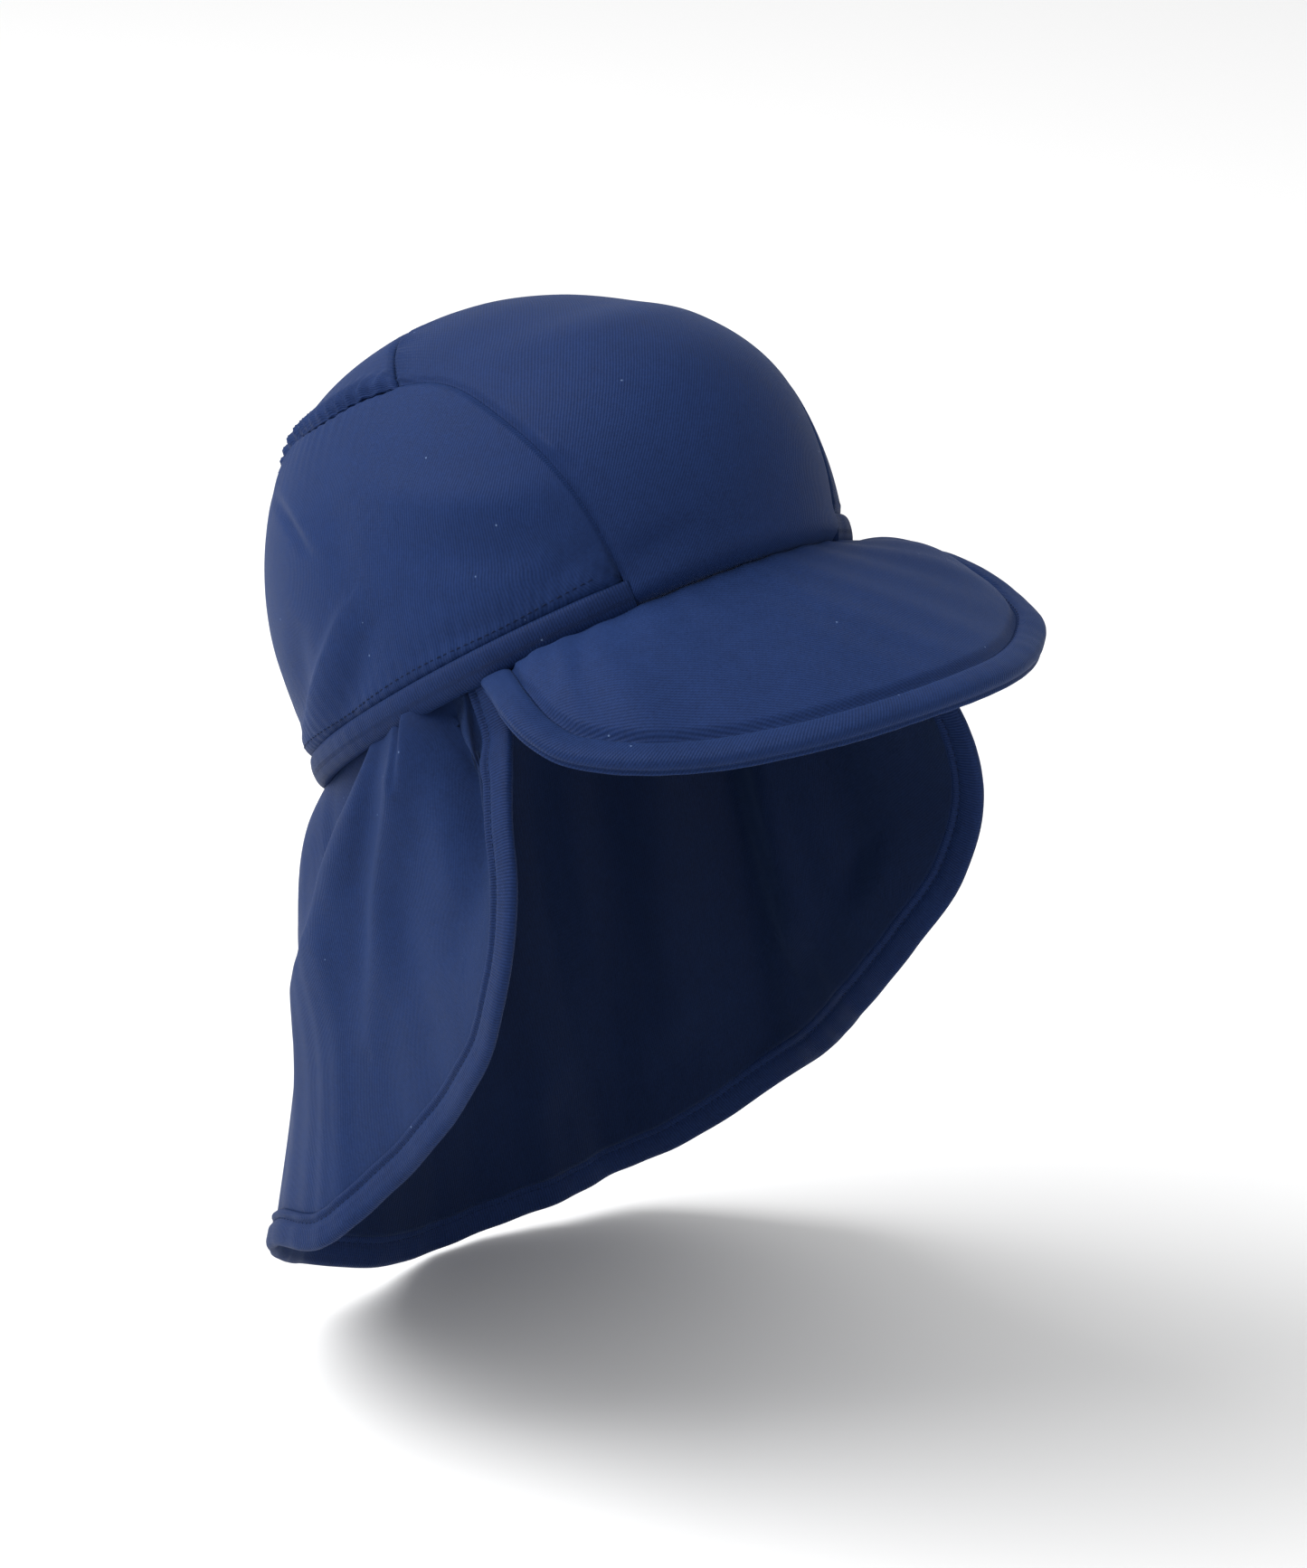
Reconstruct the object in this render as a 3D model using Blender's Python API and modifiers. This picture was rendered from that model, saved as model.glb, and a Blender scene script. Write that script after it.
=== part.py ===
# A worn baby sun hat: a crown of four panels on an elastic casing, a padded peak and a neck flap.
# The origin is the middle of the head opening. The wearer faces -Y, +X is the wearer's left and +Z is up.

import math

import bmesh
import bpy
import numpy as np

for old in list(bpy.data.objects):
    bpy.data.objects.remove(old, do_unlink=True)

# Head opening and crown
HEAD_HALF_WIDTH = 0.066
HEAD_HALF_LENGTH = 0.080
CROWN_HEIGHT = 0.0942
OPENING_TILT = math.radians(34.3)
CLOTH = 0.0013
SEAM_GAP = 0.0003

# Elastic casing along the crown's lower edge
CASING_HEIGHT = 0.008
CASING_THICKNESS = 0.0030

# Padded peak
PEAK_END_ANGLE = math.radians(62.5)
PEAK_HALF_WIDTH = 0.0791
PEAK_REACH = 0.128
PEAK_RISE = 0.024
PEAK_THICKNESS = 0.0040
PEAK_BULGE = 0.0015
PEAK_AIM = 0.6
PEAK_ROUNDING = 0.0014
PEAK_LEAST_LENGTH = 0.0069
RIM_WIDTH = 0.0078
RIM_THICKNESS = 0.0046

# Neck flap
FLAP_END_ANGLE = math.radians(65.5)
FLAP_PANEL_ANGLE = math.radians(72.0)
FLAP_HALF_WIDTH = 0.0910
FLAP_BACK = 0.0670
FLAP_DROP = 0.1850
FLAP_CLOTH = 0.0012
HEM_WIDTH = 0.0085
HEM_THICKNESS = 0.0028
FOLD_HEIGHT = 0.0045
FOLD_FADE = 0.15
FOLD_ROOM = 0.050
FOLD_START = 0.3
FLAP_AIM = 0.2
FLAP_LEAST_LENGTH = 0.005
PUFF = 0.0060
PUFF_HALF_ANGLE = 90.0
PUFF_FADE = 40.0
ROW_SPACING = 1.3

# Mesh steps
PANEL_COLUMNS = 20
PANEL_ROWS = 10
STRIP_COLUMNS = 10
PEAK_COLUMNS = 26
PEAK_ROWS = 4
FLAP_COLUMNS = 72
FLAP_ROWS = 10
EDGE_STEPS = 2

# Crown's inner face as a share of a plain ellipsoid: elevation in degrees, front, side, back
CROWN_SHARES = (
    (0, 1.000, 1.000, 0.900),
    (12, 1.130, 1.027, 0.908),
    (25, 1.195, 1.066, 0.960),
    (38, 1.152, 1.078, 1.008),
    (50, 1.070, 1.076, 1.032),
    (63, 1.030, 1.048, 1.035),
    (76, 1.013, 1.019, 1.019),
    (90, 1.000, 1.000, 1.000),
)

# Side seam: degrees over the crown from the front edge, degrees out from the middle
SIDE_SEAM = (
    (0, 30.3),
    (14, 30.8),
    (36, 32.2),
    (60, 32.0),
    (72, 35.0),
    (90, 37.6),
    (106, 33.5),
    (130, 26.0),
    (155, 20.0),
    (180, 17.0),
)

# Cross seam: degrees over the crown in the middle and how far its ends come forward
CROSS_SEAM_MIDDLE = 86.0
CROSS_SEAM_BOW = 17.5

# Crown folds: start angle and elevation, end angle and elevation, width in degrees, share of the height
CROWN_FOLDS = (
    (72, 30, 88, 15, 4.0, 0.40),
    (88, 15, 122, 8, 4.0, 0.35),
    (97, 19, 99, 11, 3.0, 0.30),
    (114, 47, 90, 29, 5.0, -0.35),
    (84, 48, 81, 39, 4.0, -0.30),
    (66, 27, 46, 17, 7.0, 0.30),
    (140, 6, 133, 24, 4.5, 0.30),
    (160, 6, 156, 22, 4.5, 0.30),
    (-78, 24, -96, 13, 4.5, 0.45),
    (-100, 12, -126, 8, 4.5, 0.50),
    (-112, 44, -92, 30, 5.0, -0.30),
    (-142, 6, -134, 23, 4.5, 0.30),
    (-161, 6, -158, 21, 4.5, 0.30),
)

# Peak's outer edge from its end to its tip: out as a share of the half width, forward as a share of
# the reach, height as a share of the rise
PEAK_EDGE = (
    (0.868, 0.345, 0.950),
    (0.955, 0.430, 1.000),
    (0.992, 0.535, 0.870),
    (0.980, 0.600, 0.785),
    (0.930, 0.675, 0.755),
    (0.855, 0.748, 0.760),
    (0.700, 0.836, 0.785),
    (0.540, 0.907, 0.860),
    (0.350, 0.965, 0.940),
    (0.170, 0.992, 0.985),
    (0.000, 1.000, 1.000),
)

# Flap's outer edge from its end round to the middle of the back: angle on the casing in degrees, out as
# a share of the half width, back as a share of the flap's back, height as shares of the drop on the
# wearer's right and left
FLAP_EDGE = (
    (73.5, 0.687, -0.560, 0.060, 0.060),
    (75, 0.736, -0.694, 0.030, 0.030),
    (76.5, 0.780, -0.791, -0.022, -0.022),
    (78.5, 0.835, -0.888, -0.090, -0.090),
    (81, 0.888, -0.927, -0.194, -0.194),
    (86.5, 0.901, -0.818, -0.337, -0.340),
    (94, 0.887, -0.561, -0.470, -0.478),
    (106, 0.914, -0.251, -0.599, -0.608),
    (120, 0.975, 0.061, -0.706, -0.718),
    (134, 0.910, 0.430, -0.757, -0.835),
    (150, 0.665, 0.800, -0.868, -0.948),
    (165, 0.380, 0.955, -0.946, -0.985),
    (180, 0.000, 1.000, -1.000, -1.000),
)

# Flap folds: angle on the casing at the top and at the hem, width in degrees, share of the height,
# how far down it starts and ends
FLAP_FOLDS = (
    (74, 78, 3.0, -0.50, 0.00, 0.80),
    (84, 93, 4.0, 0.80, 0.00, 0.80),
    (91, 104, 4.0, -0.55, 0.00, 0.70),
    (97, 118, 4.5, 1.00, 0.00, 1.00),
    (107, 130, 5.5, -0.80, 0.00, 0.90),
    (122, 140, 6.0, 0.70, 0.00, 1.10),
    (137, 150, 6.0, -0.60, 0.00, 0.90),
    (152, 160, 6.5, 0.80, 0.00, 1.20),
    (167, 170, 6.0, -0.60, 0.00, 0.90),
    (181, 181, 6.5, 0.70, 0.00, 1.20),
    (-76, -80, 3.5, -0.40, 0.00, 0.80),
    (-87, -97, 4.5, 0.70, 0.00, 0.90),
    (-99, -114, 5.0, -0.60, 0.00, 0.90),
    (-111, -128, 5.5, 0.80, 0.00, 1.10),
    (-125, -140, 6.0, -0.60, 0.00, 0.90),
    (-139, -151, 6.0, 0.70, 0.00, 1.20),
    (-153, -161, 6.0, -0.60, 0.00, 0.90),
    (-167, -171, 6.0, 0.60, 0.00, 1.10),
)

# The opening's own axes: to the wearer's left, forward in the opening's plane, and out of it
SIDE_AXIS = np.array((1.0, 0.0, 0.0))
FRONT_AXIS = np.array((0.0, -math.cos(OPENING_TILT), math.sin(OPENING_TILT)))
UP_AXIS = np.array((0.0, math.sin(OPENING_TILT), math.cos(OPENING_TILT)))
CROWN_SIZE = np.array((HEAD_HALF_WIDTH, HEAD_HALF_LENGTH, CROWN_HEIGHT))

NAVY = (0.010, 0.028, 0.105, 1.0)
DARK_NAVY = (0.008, 0.022, 0.085, 1.0)


def smooth(table, column, x):
    """Cubic through a table's points, read at x in its first column."""
    xs = np.array([row[0] for row in table], float)
    ys = np.array([row[column] for row in table], float)
    slopes = np.gradient(ys, xs)
    i = np.clip(np.searchsorted(xs, x) - 1, 0, len(xs) - 2)
    step = xs[i + 1] - xs[i]
    s = (x - xs[i]) / step
    start = ys[i] * (1 + 2 * s) * (1 - s) ** 2 + slopes[i] * step * s * (1 - s) ** 2
    end = ys[i + 1] * s * s * (3 - 2 * s) + slopes[i + 1] * step * s * s * (s - 1)
    return start + end


def to_world(side, front, up):
    return side[..., None] * SIDE_AXIS + front[..., None] * FRONT_AXIS + up[..., None] * UP_AXIS


def unit(vectors):
    return vectors / np.linalg.norm(vectors, axis=-1, keepdims=True)


def direction(angle, elevation):
    """Direction at an angle from the front, positive to the wearer's right, and an elevation."""
    level = np.cos(elevation)
    return np.stack((-level * np.sin(angle), level * np.cos(angle), np.sin(elevation)), -1)


def over_crown(along, out):
    """Direction a number of radians over the crown from the front edge and out to the wearer's right."""
    level = np.cos(out)
    return np.stack((-np.sin(out), level * np.cos(along), level * np.sin(along)), -1)


def fold_relief(angle, elevation):
    """Height of the crown's folds in metres, from angles in degrees."""
    relief = np.zeros_like(angle)
    for start, start_up, end, end_up, width, share in CROWN_FOLDS:
        run = np.array((end - start, end_up - start_up), float)
        length = np.linalg.norm(run)
        rest = np.stack((angle - start, elevation - start_up), -1)
        along = np.clip(rest @ run / length ** 2, 0, 1)
        away = np.linalg.norm(rest - along[..., None] * run, axis=-1)
        relief += share * FOLD_HEIGHT * np.exp(-(away / width) ** 2)
    return relief


def crown_wall(directions):
    """Point of the crown's inner face in each direction, in world space."""
    d = unit(directions)
    elevation = np.degrees(np.arcsin(np.clip(d[..., 2], -1, 1)))
    angle = np.degrees(np.arctan2(-d[..., 0], d[..., 1]))
    front, side, back = (smooth(CROWN_SHARES, column, elevation) for column in (1, 2, 3))
    facing = np.cos(np.radians(angle))
    share = side + (np.where(facing > 0, front, back) - side) * facing ** 2
    local = d * CROWN_SIZE * share[..., None]
    local = local + unit(d / CROWN_SIZE) * fold_relief(angle, elevation)[..., None]
    return to_world(local[..., 0], local[..., 1], local[..., 2])


def elevation_at(angle, height):
    """Elevation at which the crown's wall is a height over the opening's plane."""
    elevation = np.full_like(angle, height / CROWN_HEIGHT)
    for _ in range(4):
        reached = crown_wall(direction(angle, elevation)) @ UP_AXIS
        elevation = elevation + (height - reached) / CROWN_HEIGHT
    return elevation


def side_seam(along):
    """How far out the side seam runs, in radians."""
    return np.radians(smooth(SIDE_SEAM, 1, np.degrees(along)))


def cross_seam(out):
    """How far over the crown the cross seam lies, in radians."""
    edge = math.radians(SIDE_SEAM[3][1])
    return np.radians(CROSS_SEAM_MIDDLE - CROSS_SEAM_BOW * (out / edge) ** 2)


def seam_foot(height, start, end):
    """Where the side seam comes down to a height over the opening, found between two bounds."""
    for _ in range(40):
        middle = (start + end) / 2
        point = crown_wall(over_crown(np.array(middle), side_seam(np.array(middle))))
        if (point @ UP_AXIS - height) * math.cos(middle) > 0:
            end = middle
        else:
            start = middle
    return (start + end) / 2


def make_material(name, colour, roughness):
    material = bpy.data.materials.new(name)
    material.use_nodes = True
    shader = material.node_tree.nodes["Principled BSDF"]
    shader.inputs["Base Color"].default_value = colour
    shader.inputs["Roughness"].default_value = roughness
    return material


def add_sheet(name, grid, thickness, colour, offset=-1.0, rounding=0.0, even=True):
    """Closed sheet of cloth from a grid of points on one of its faces or its middle."""
    rows, columns = grid.shape[:2]
    sheet = bmesh.new()
    corners = [[sheet.verts.new(point) for point in row] for row in grid]
    for r in range(rows - 1):
        for c in range(columns - 1):
            sheet.faces.new((corners[r][c], corners[r][c + 1], corners[r + 1][c + 1], corners[r + 1][c]))
    bmesh.ops.remove_doubles(sheet, verts=sheet.verts, dist=SEAM_GAP / 10)
    mesh = bpy.data.meshes.new(name)
    sheet.to_mesh(mesh)
    sheet.free()
    node = bpy.data.objects.new(name, mesh)
    HAT.objects.link(node)
    mesh.materials.append(make_material(name + "_cloth", colour, 0.6))
    shell = node.modifiers.new("Thickness", "SOLIDIFY")
    shell.thickness = thickness
    shell.offset = offset
    shell.use_even_offset = even
    if rounding > 0:
        bevel = node.modifiers.new("Rounded edge", "BEVEL")
        bevel.width = rounding
        bevel.segments = EDGE_STEPS
        bevel.limit_method = "ANGLE"
        bevel.angle_limit = math.radians(50)
    return node


def blend(first, last, shares):
    """Rows of points at shares of the way from one line of points to another."""
    share = np.asarray(shares)[:, None, None]
    return first * (1 - share) + last * share


def even_steps(count):
    return np.linspace(0, 1, count + 1)


def tangents(line):
    return unit(np.gradient(line, axis=0))


def add_middle_panel(name, low_edge, high_edge, rows, colour):
    """Crown panel between the side seams; each edge is a function of how far out a point lies."""
    gap = SEAM_GAP / 2 / HEAD_HALF_WIDTH
    share = np.linspace(1, -1, STRIP_COLUMNS + 1)[None, :].repeat(rows + 1, 0)
    up = np.linspace(1, 0, rows + 1)[:, None].repeat(STRIP_COLUMNS + 1, 1)
    along = np.full(share.shape, math.radians(CROSS_SEAM_MIDDLE))
    for _ in range(8):
        out = share * (side_seam(along) - gap)
        along = low_edge(out) * (1 - up) + high_edge(out) * up
    return add_sheet(name, crown_wall(over_crown(along, out)), CLOTH, colour)


def level_edge(height, behind):
    """Edge function of a level line round the crown, before or behind its top."""
    def reach(out):
        along = np.full_like(out, math.pi - 0.1 if behind else 0.1)
        for _ in range(12):
            lift = crown_wall(over_crown(along, out)) @ UP_AXIS - height
            along = along + (lift if behind else -lift) / CROWN_HEIGHT
        return along
    return reach


def seam_edge(shift):
    """Edge function of the cross seam, moved over the crown by a distance."""
    return lambda out: cross_seam(out) + shift / CROWN_HEIGHT


def add_side_panel(name, hand):
    """Crown side from the seam down to the casing; hand is 1 on the wearer's right and -1 on the left."""
    base = CASING_HEIGHT + SEAM_GAP
    gap = SEAM_GAP / 2 / HEAD_HALF_WIDTH
    front = seam_foot(base, 0.0, math.pi / 4)
    back = seam_foot(base, math.pi * 0.75, math.pi)
    share = np.linspace(0, 1, PANEL_COLUMNS + 1)
    along = front + (back - front) * share
    top = over_crown(along, side_seam(along) + gap)
    ends = np.arctan2(-top[[0, -1], 0], top[[0, -1], 1])
    angle = ends[0] + (ends[1] - ends[0]) * share
    low = direction(angle, elevation_at(angle, base))
    low[0] = top[0]
    low[-1] = top[-1]
    directions = unit(blend(top, low, even_steps(PANEL_ROWS)))
    directions[..., 0] *= hand
    grid = crown_wall(directions)
    return add_sheet(name, grid[:, ::-1] if hand > 0 else grid, CLOTH, NAVY)


def add_casing():
    """Elastic casing from one side seam round the back to the other."""
    foot = seam_foot(CASING_HEIGHT / 2, 0.0, math.pi / 4)
    seam = over_crown(np.array(foot), side_seam(np.array(foot)))
    end = math.atan2(-seam[0], seam[1]) + 2 * SEAM_GAP / HEAD_HALF_WIDTH
    angle = np.linspace(end, 2 * math.pi - end, 2 * PANEL_COLUMNS + 1)
    turn = wrapped(angle)
    low = crown_wall(direction(turn, np.zeros_like(turn)))
    high = crown_wall(direction(turn, elevation_at(turn, CASING_HEIGHT)))
    grid = blend(high, low, even_steps(1))[:, ::-1]
    return add_sheet("band_casing", grid, CASING_THICKNESS, DARK_NAVY, 0.0, CASING_THICKNESS * 0.4)


def smooth_line(points, count):
    """Smooth line through points, read at equal steps of its length, and the shares of the points."""
    length = np.concatenate(((0,), np.cumsum(np.linalg.norm(np.diff(points, axis=0), axis=1))))
    table = np.column_stack((length, points))
    steps = np.linspace(0, length[-1], count)
    return np.stack([smooth(table, column, steps) for column in (1, 2, 3)], -1), length / length[-1]


def strip_inside(edge, aim, width):
    """Line at a distance inside an edge, towards its aim line and square to the edge."""
    along = tangents(edge)
    across = aim - edge
    across = across - (across * along).sum(-1, keepdims=True) * along
    return edge + width * unit(across)


def surface_normal(grid):
    return unit(np.cross(np.gradient(grid, axis=1), np.gradient(grid, axis=0)))


def outside_opening(line, drop):
    """Line kept out of the head opening: what reaches in is moved out to the wall line."""
    side, front = line @ SIDE_AXIS, line @ FRONT_AXIS
    angle = np.arctan2(-side / HEAD_HALF_WIDTH, front / HEAD_HALF_LENGTH)
    wall = crown_wall(direction(angle, np.zeros_like(angle)))
    inside = np.hypot(side, front) < np.hypot(wall @ SIDE_AXIS, wall @ FRONT_AXIS)
    up = np.minimum(line @ UP_AXIS, -drop)
    kept = to_world(wall @ SIDE_AXIS, wall @ FRONT_AXIS, up)
    return np.where(inside[:, None], kept, line)


def both_sides(line):
    """Line from the wearer's right end to the middle, carried on to the left by its mirror image."""
    return np.vstack((line, line[-2::-1] * (-1, 1, 1)))


def casing_line(angle, drop):
    """Wall line of the opening at angles from the front, lowered by a drop square to its plane."""
    return crown_wall(direction(angle, np.zeros_like(angle))) - drop * UP_AXIS


def add_peak():
    """Padded peak under the front panel, and the rolled rim along its outer edge."""
    drop = SEAM_GAP + RIM_THICKNESS / 2
    end = casing_line(np.array((PEAK_END_ANGLE,)), drop)
    size = np.array((-PEAK_HALF_WIDTH, -PEAK_REACH, PEAK_RISE))
    edge, _ = smooth_line(np.vstack((end, np.array(PEAK_EDGE) * size)), PEAK_COLUMNS + 1)
    edge = both_sides(edge)
    angle = np.linspace(PEAK_END_ANGLE, -PEAK_END_ANGLE, len(edge))
    aim = casing_line(angle * PEAK_AIM, drop)
    rim = outside_opening(strip_inside(edge, aim, RIM_WIDTH), drop)
    add_sheet("peak_edge", blend(edge, rim, even_steps(1)), RIM_THICKNESS, DARK_NAVY, 0.0, RIM_THICKNESS * 0.42)

    inner = outside_opening(strip_inside(edge, aim, RIM_WIDTH + SEAM_GAP), drop)
    corner = math.atan2(-inner[0] @ SIDE_AXIS / HEAD_HALF_WIDTH, inner[0] @ FRONT_AXIS / HEAD_HALF_LENGTH)
    seam = casing_line(np.linspace(corner, -corner, len(edge)), SEAM_GAP)
    wide = np.flatnonzero(np.linalg.norm(inner - seam, axis=-1) > PEAK_LEAST_LENGTH)
    keep = slice(wide[0], wide[-1] + 1)
    share = even_steps(PEAK_ROWS)
    grid = blend(inner[keep], seam[keep], share)
    height = (1 - share) * PEAK_THICKNESS / 2 + np.sin(math.pi * share) * PEAK_BULGE
    top = grid + height[:, None, None] * surface_normal(grid)
    add_sheet("peak", top, PEAK_THICKNESS, NAVY, -1.0, PEAK_ROUNDING)


def wrapped(angle):
    return np.where(angle > math.pi, angle - 2 * math.pi, angle)


def flap_relief(turn, down):
    """Outward relief of the flap: its puff under the casing and its folds."""
    behind = np.clip((PUFF_HALF_ANGLE - np.abs(180 - turn)) / PUFF_FADE, 0, 1)
    hump = down * (1 - down) ** 4
    relief = PUFF * behind * hump / (0.2 * 0.8 ** 4)
    for top, hem, width, share, start, end in FLAP_FOLDS:
        centre = np.where(top < 0, 360, 0) + top + (hem - top) * down
        fade = np.clip((down - start) / FOLD_FADE, 0, 1) * np.clip((end - down) / FOLD_FADE, 0, 1)
        relief += share * FOLD_HEIGHT * fade * np.exp(-((turn - centre) / width) ** 2)
    return relief


def flap_edge_points():
    """Points of the flap's outer edge from the wearer's right round the back to the left."""
    rows = np.array(FLAP_EDGE)
    right = rows[:, 1:4] * (-FLAP_HALF_WIDTH, FLAP_BACK, FLAP_DROP)
    left = rows[:, [1, 2, 4]] * (FLAP_HALF_WIDTH, FLAP_BACK, FLAP_DROP)
    end = casing_line(np.array((FLAP_END_ANGLE,)), SEAM_GAP + HEM_THICKNESS / 2)
    return np.vstack((end, right, left[-2::-1], end * (-1, 1, 1)))


def add_flap():
    """Neck flap that hangs from the casing, and the turned hem along its free edge."""
    edge, shares = smooth_line(flap_edge_points(), FLAP_COLUMNS + 1)
    first = math.degrees(FLAP_PANEL_ANGLE)
    turned = [row[0] for row in FLAP_EDGE]
    angles = np.array([first] + turned + [360 - a for a in turned[-2::-1]] + [360 - first])
    angle = smooth(np.column_stack((shares, angles)), 1, np.linspace(0, 1, FLAP_COLUMNS + 1))
    drop = SEAM_GAP + FLAP_CLOTH / 4
    top = casing_line(wrapped(np.radians(angle)), drop)
    aim = casing_line(wrapped(np.radians(angle + (180 - angle) * FLAP_AIM)), drop)
    hem = strip_inside(edge, aim, HEM_WIDTH)
    inner = strip_inside(edge, aim, HEM_WIDTH + 2 * SEAM_GAP)
    shares = even_steps(FLAP_ROWS) ** ROW_SPACING
    grid = blend(top, inner, shares)
    down = shares[:, None].repeat(FLAP_COLUMNS + 1, 1)
    turn = angle[None, :].repeat(FLAP_ROWS + 1, 0)
    length = np.linalg.norm(inner - top, axis=-1)
    room = np.clip(length / FOLD_ROOM - FOLD_START, 0, 1)
    relief = (flap_relief(turn, down) * room)[..., None] * surface_normal(grid)
    wide = np.flatnonzero(length > FLAP_LEAST_LENGTH)
    keep = slice(wide[0], wide[-1] + 1)
    add_sheet("flap", (grid + relief)[:, keep], FLAP_CLOTH, NAVY, 0.0, even=False)
    rows = blend(hem + relief[-1], edge + relief[-1], even_steps(1))
    add_sheet("flap_hem", rows, HEM_THICKNESS, DARK_NAVY, 0.0, HEM_THICKNESS * 0.4)


HAT = bpy.data.collections.new("baby_beach_hat")
bpy.context.scene.collection.children.link(HAT)

add_middle_panel("front_panel", level_edge(0.0, False), seam_edge(-SEAM_GAP / 2), PANEL_ROWS, NAVY)
add_middle_panel("back_panel", seam_edge(SEAM_GAP / 2), level_edge(CASING_HEIGHT + SEAM_GAP, True),
                 PANEL_ROWS, NAVY)
add_side_panel("side_panel_right", 1)
add_side_panel("side_panel_left", -1)
add_casing()
add_peak()
add_flap()
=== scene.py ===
import math

import bpy
import numpy as np
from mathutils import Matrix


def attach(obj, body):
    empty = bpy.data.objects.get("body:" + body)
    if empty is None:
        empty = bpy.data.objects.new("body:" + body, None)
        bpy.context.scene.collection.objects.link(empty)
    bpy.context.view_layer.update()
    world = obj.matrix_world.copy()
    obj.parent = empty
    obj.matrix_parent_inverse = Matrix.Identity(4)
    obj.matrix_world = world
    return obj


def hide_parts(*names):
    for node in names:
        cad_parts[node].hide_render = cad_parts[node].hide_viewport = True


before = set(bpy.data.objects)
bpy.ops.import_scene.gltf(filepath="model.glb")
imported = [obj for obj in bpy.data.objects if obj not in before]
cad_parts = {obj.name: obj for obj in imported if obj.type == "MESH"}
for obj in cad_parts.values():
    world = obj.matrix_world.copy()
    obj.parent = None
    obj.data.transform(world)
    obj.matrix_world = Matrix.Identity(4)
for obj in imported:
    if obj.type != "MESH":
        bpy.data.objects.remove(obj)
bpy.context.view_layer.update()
print("frame loaded")

# The photo's viewpoint: angles in degrees, distance in metres, focal length and frame in pixels
viewpoint = {
    "azimuth": -42.0,
    "elevation": 20.0,
    "roll": 1.5,
    "distance": 1.5,
    "focal": 6600.0,
    "middle": (642.0, 745.0),
    "frame": (1445, 1734),
}

# The head opening, whose plane is tilted with its front up
opening = {
    "tilt": math.radians(34.3),
    "halfWidth": 0.066,
    "halfLength": 0.080,
}
sideAxis = np.array((1.0, 0.0, 0.0))
frontAxis = np.array((0.0, -math.cos(opening["tilt"]), math.sin(opening["tilt"])))
upAxis = np.array((0.0, math.sin(opening["tilt"]), math.cos(opening["tilt"])))


def unit(vectors):
    return vectors / np.maximum(np.linalg.norm(vectors, axis=-1, keepdims=True), 1e-12)


def smoothTable(table, column, x):  # cubic through a table's points
    xs = np.array([row[0] for row in table], float)
    ys = np.array([row[column] for row in table], float)
    slopes = np.gradient(ys, xs)
    i = np.clip(np.searchsorted(xs, x) - 1, 0, len(xs) - 2)
    step = xs[i + 1] - xs[i]
    s = (x - xs[i]) / step
    start = ys[i] * (1 + 2 * s) * (1 - s) ** 2 + slopes[i] * step * s * (1 - s) ** 2
    end = ys[i + 1] * s * s * (3 - 2 * s) + slopes[i + 1] * step * s * s * (s - 1)
    return start + end


def smoothLine(points, count):  # line through points at equal steps, and where the points lie on it
    points = np.asarray(points, float)
    length = np.concatenate(((0,), np.cumsum(np.linalg.norm(np.diff(points, axis=0), axis=1))))
    table = np.column_stack((length, points))
    steps = np.linspace(0, length[-1], count)
    line = np.stack([smoothTable(table, column, steps) for column in range(1, points.shape[1] + 1)], -1)
    return line, length / length[-1]


def toWorld(side, front, up):
    return side[..., None] * sideAxis + front[..., None] * frontAxis + up[..., None] * upAxis


def ease(x):
    x = np.clip(x, 0, 1)
    return x * x * (3 - 2 * x)


def hump(distance, width):
    return np.exp(-(distance / width) ** 2)


def gridNormal(grid):
    return unit(np.cross(np.gradient(grid, axis=1), np.gradient(grid, axis=0)))


def waves(x, pitch, seed):  # uneven ripples between about -1 and 1
    drift = np.sin(x / pitch * 0.61 + seed) * 1.1 + np.sin(x / pitch * 1.37 + 2.1 * seed) * 0.7
    height = 0.75 + 0.25 * np.sin(x / pitch * 0.83 + 3.3 * seed)
    return height * np.sin(2 * math.pi * x / pitch + drift)


def viewAxes():
    a, e, r = (math.radians(viewpoint[key]) for key in ("azimuth", "elevation", "roll"))
    back = np.array((math.sin(a) * math.cos(e), -math.cos(a) * math.cos(e), math.sin(e)))
    level = np.array((math.cos(a), math.sin(a), 0.0))
    above = np.cross(back, level)
    right = level * math.cos(r) - above * math.sin(r)
    return right, np.cross(back, right), back


def toPixel(points):  # where points show in the photo
    right, up, back = viewAxes()
    rest = points - back * viewpoint["distance"]
    depth = -(rest @ back)
    x = viewpoint["middle"][0] + viewpoint["focal"] * (rest @ right) / depth
    y = viewpoint["middle"][1] - viewpoint["focal"] * (rest @ up) / depth
    return np.stack((x, y), -1)


def pathRelief(places, folds):  # height of folds that run along paths; each path point has its own height
    relief = np.zeros(places.shape[:-1])
    for path, leftWidth, rightWidth in folds:
        nearest = np.full(places.shape[:-1], np.inf)
        across = np.zeros(places.shape[:-1])
        height = np.zeros(places.shape[:-1])
        for start, end in zip(path, path[1:]):
            run = np.subtract(end[:2], start[:2])
            rest = places - start[:2]
            share = np.clip(rest @ run / (run @ run), 0, 1)
            away = rest - share[..., None] * run
            distance = np.linalg.norm(away, axis=-1)
            closer = distance < nearest
            side = np.sign(run[0] * away[..., 1] - run[1] * away[..., 0])
            nearest = np.where(closer, distance, nearest)
            across = np.where(closer, side, across)
            height = np.where(closer, start[2] + share * (end[2] - start[2]), height)
        width = np.where(across > 0, leftWidth, rightWidth)
        relief += height * 0.001 * hump(nearest, width)
    return relief


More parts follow.
